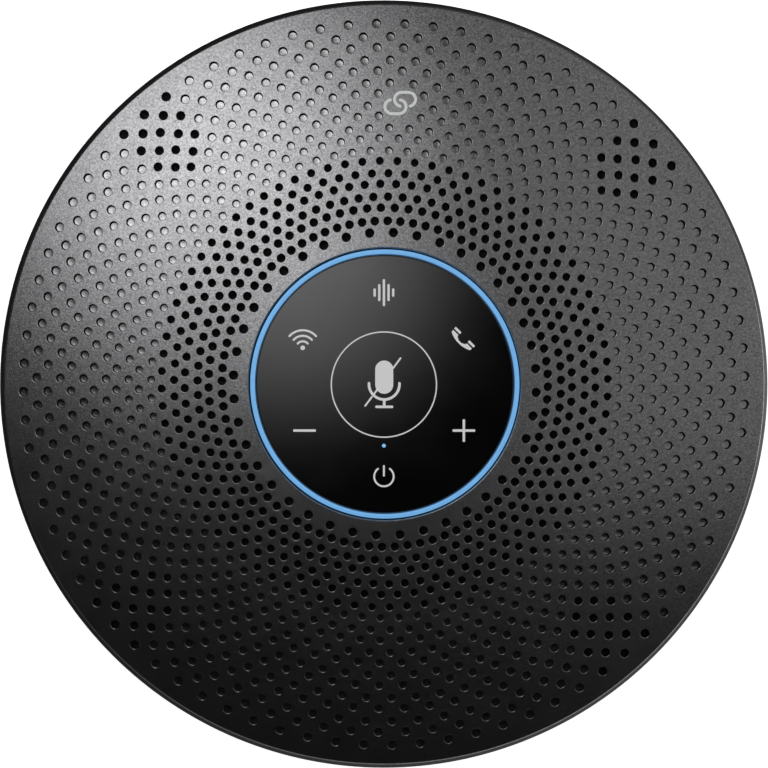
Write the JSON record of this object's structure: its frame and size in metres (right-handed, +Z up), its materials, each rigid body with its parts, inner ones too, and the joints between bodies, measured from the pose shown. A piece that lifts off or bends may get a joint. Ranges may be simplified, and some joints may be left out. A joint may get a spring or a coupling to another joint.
{
  "type": "conference speakerphone",
  "caption": "Low round tabletop speakerphone: perforated domed grille, glossy touch panel in a light ring, microphones round the rim, loudspeaker and cells inside, ports at the back.",
  "frame": {"origin": "centre of the round foot's underside, on the surface the unit stands on", "axes": "+Z up through the centre of the touch panel and along the loudspeaker's axis, +Y towards the back, where the ports are, +X to the right for a user at the front"},
  "size_m": [0.125, 0.125, 0.036],
  "materials": {
    "grille_paint": "fine metallic satin, dark grey",
    "housing_plastic": "fine moulded grain, black",
    "frame_plastic": "moulded, unpainted black",
    "lens_gloss": "piano black with printed keys",
    "light_guide": "lit blue diffuser",
    "board_green": "solder-masked circuit board",
    "chip_black": "moulded chip package",
    "tin_plate": "tin-plated sheet",
    "steel": "pressed and plated steel",
    "zinc_plate": "zinc-plated screw",
    "ferrite": "ground ferrite",
    "paper_cone": "coated paper pulp, black",
    "rubber": "matt elastomer",
    "copper": "enamelled copper winding",
    "spider_cloth": "resin-stiffened woven cotton",
    "acoustic_cloth": "fine black mesh",
    "foam": "closed-cell foam",
    "flex_film": "flexible circuit under black cover film",
    "cell_wrap": "shrink sleeve",
    "label_film": "blank printed film",
    "wire_red": "insulated wire",
    "wire_black": "insulated wire"
  },
  "bodies": {
    "chassis": {"acoustic_cloth": "acoustic_cloth", "amplifier_chip": "chip_black", "audio_jack": "frame_plastic", "baffle_frame": "frame_plastic", "battery_cell_left": "cell_wrap", "battery_cell_right": "cell_wrap", "battery_cradle_left": "frame_plastic", "battery_cradle_right": "frame_plastic", "battery_lead_left": "wire_red", "battery_lead_right": "wire_black", "board_connector": "frame_plastic", "cone_surround": "rubber", "foot_ring": "rubber", "front_plate": "steel", "housing_screw_1": "zinc_plate", "housing_screw_2": "zinc_plate", "housing_screw_3": "zinc_plate", "housing_screw_4": "zinc_plate", "led_board": "board_green", "light_ring": "light_guide", "lower_housing": "housing_plastic", "main_board": "board_green", "mic_board_1": "board_green", "mic_board_2": "board_green", "mic_board_3": "board_green", "mic_board_4": "board_green", "mic_boot_1": "rubber", "mic_boot_2": "rubber", "mic_boot_3": "rubber", "mic_boot_4": "rubber", "mic_flex": "flex_film", "panel_carrier": "frame_plastic", "panel_screw_1": "zinc_plate", "panel_screw_2": "zinc_plate", "panel_screw_3": "zinc_plate", "pole_yoke": "steel", "port_board": "board_green", "processor_chip": "chip_black", "rating_label": "label_film", "ribbon_socket": "frame_plastic", "shield_can": "tin_plate", "speaker_frame": "steel", "speaker_gasket": "foam", "speaker_lead_negative": "wire_black", "speaker_lead_positive": "wire_red", "speaker_magnet": "ferrite", "speaker_screw_1": "zinc_plate", "speaker_screw_2": "zinc_plate", "speaker_screw_3": "zinc_plate", "speaker_screw_4": "zinc_plate", "spider": "spider_cloth", "top_grille": "grille_paint", "touch_board": "board_green", "touch_lens": "lens_gloss", "touch_ribbon": "flex_film", "usb_c_receptacle": "tin_plate"},
    "cone_assembly": {"speaker_cone": "paper_cone", "dust_cap": "paper_cone", "voice_coil": "copper"}
  },
  "joints": [
    {"name": "cone_travel", "type": "slide", "parent": "chassis", "child": "cone_assembly", "axis": [0, 0, 1], "range_m": [-0.0015, 0.0015], "stiffness_N_per_m": 1200, "deforming": ["cone_surround", "spider"]}
  ]
}
